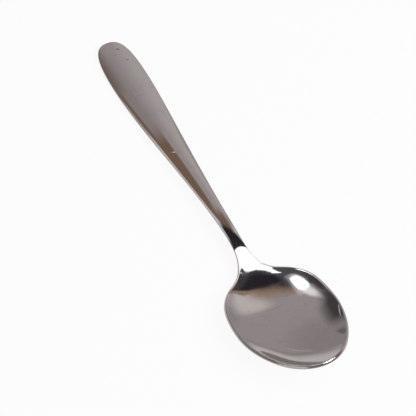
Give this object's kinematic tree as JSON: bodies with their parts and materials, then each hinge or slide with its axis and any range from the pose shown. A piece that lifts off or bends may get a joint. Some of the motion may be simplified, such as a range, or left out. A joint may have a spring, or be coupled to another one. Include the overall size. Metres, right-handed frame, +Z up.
{
  "type": "soup spoon",
  "caption": "Stainless steel soup spoon with an egg-shaped dished bowl, a narrow neck and a tapering crowned handle with a rounded end, for eating soup.",
  "frame": {"origin": "centre of the spoon's bounding box in plan, at the table that it lies on", "axes": "+X along the spoon from the handle's end to the bowl's tip, +Y across it, +Z up out of the bowl's hollow"},
  "size_m": [0.19, 0.045, 0.018],
  "materials": {
    "steel": "polished, with fine wear"
  },
  "bodies": {
    "root": {"bowl": "steel", "neck": "steel", "handle": "steel"}
  },
  "joints": []
}
